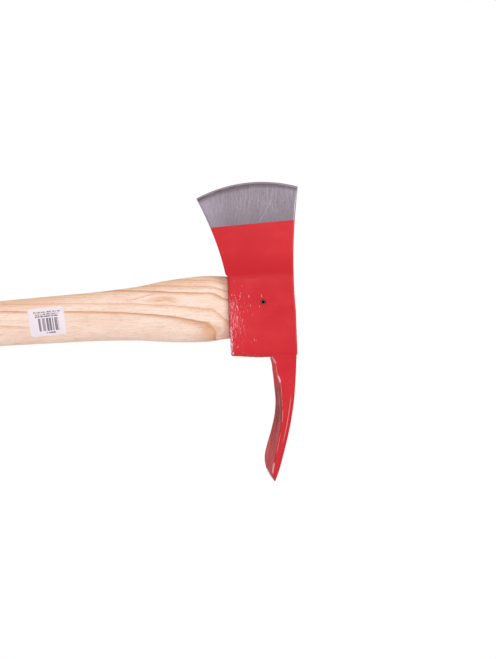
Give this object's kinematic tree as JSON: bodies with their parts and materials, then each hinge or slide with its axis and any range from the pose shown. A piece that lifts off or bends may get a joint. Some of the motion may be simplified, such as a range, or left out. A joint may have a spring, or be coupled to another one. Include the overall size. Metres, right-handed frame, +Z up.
{
  "type": "fire axe",
  "caption": "Pick-head fire axe: forged head with a broad curved bit and a hooked pick, wedged and pinned on a bowed oval wooden haft.",
  "frame": {"origin": "middle of the eye on the head's flat underside, where the fork of a wall bracket carries the axe", "axes": "+Z up the haft towards the top of the head, -X towards the cutting edge, +X towards the pick, -Y the side with the label"},
  "size_m": [0.2995, 0.038, 0.9072],
  "materials": {
    "red_paint": "satin",
    "ash": "sanded, uncoated",
    "wedge_wood": "sawn end grain",
    "wedge_steel": "mill",
    "pin_steel": "oiled spring steel",
    "label_paper": "matt"
  },
  "bodies": {
    "root": {"axe_head": "red_paint", "haft": "ash", "kerf_wedge": "wedge_wood", "steel_wedge_front": "wedge_steel", "steel_wedge_back": "wedge_steel", "cross_pin": "pin_steel", "label": "label_paper"}
  },
  "joints": []
}
